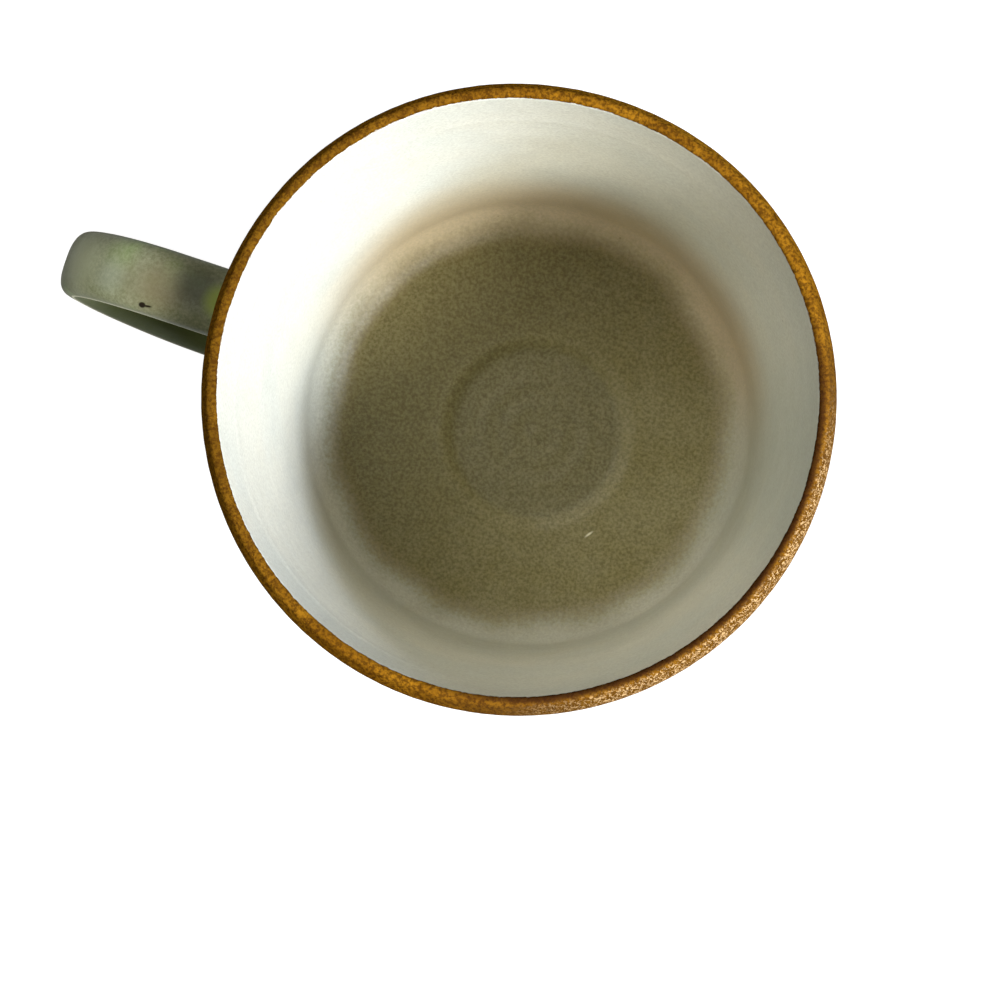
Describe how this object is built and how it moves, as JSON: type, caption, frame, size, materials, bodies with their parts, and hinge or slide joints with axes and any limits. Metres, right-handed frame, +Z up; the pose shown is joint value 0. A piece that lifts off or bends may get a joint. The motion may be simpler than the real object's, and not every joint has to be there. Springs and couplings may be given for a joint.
{
  "type": "stoneware mug",
  "caption": "Hand-thrown stoneware mug: straight-sided cup on a turned foot ring, with a narrow strap handle, iron-brown lip band, white inside, olive floor and sage outside.",
  "frame": {"origin": "centre of the plane that the foot ring stands on", "axes": "+Z up along the cup's axis, +X towards the handle, +Y to the left of someone looking out along the handle"},
  "size_m": [0.1147, 0.086, 0.092],
  "materials": {
    "stoneware_clay": "matt, fine sandy grain",
    "slip": "matt",
    "iron_brown_glaze": "satin gloss, mottled ochre to dark brown",
    "white_glaze": "satin gloss, slightly creamy",
    "olive_glaze": "satin gloss, fine speckle",
    "sage_glaze": "satin gloss, clouded grey-green"
  },
  "bodies": {
    "root": {"thrown_body": "stoneware_clay", "strap_handle": "stoneware_clay", "upper_slip_coil": "slip", "lower_slip_coil": "slip", "rim_glaze": "iron_brown_glaze", "inner_wall_glaze": "white_glaze", "floor_glaze": "olive_glaze", "outer_wall_glaze": "sage_glaze", "handle_glaze": "sage_glaze", "foot_recess_glaze": "sage_glaze"}
  },
  "joints": []
}
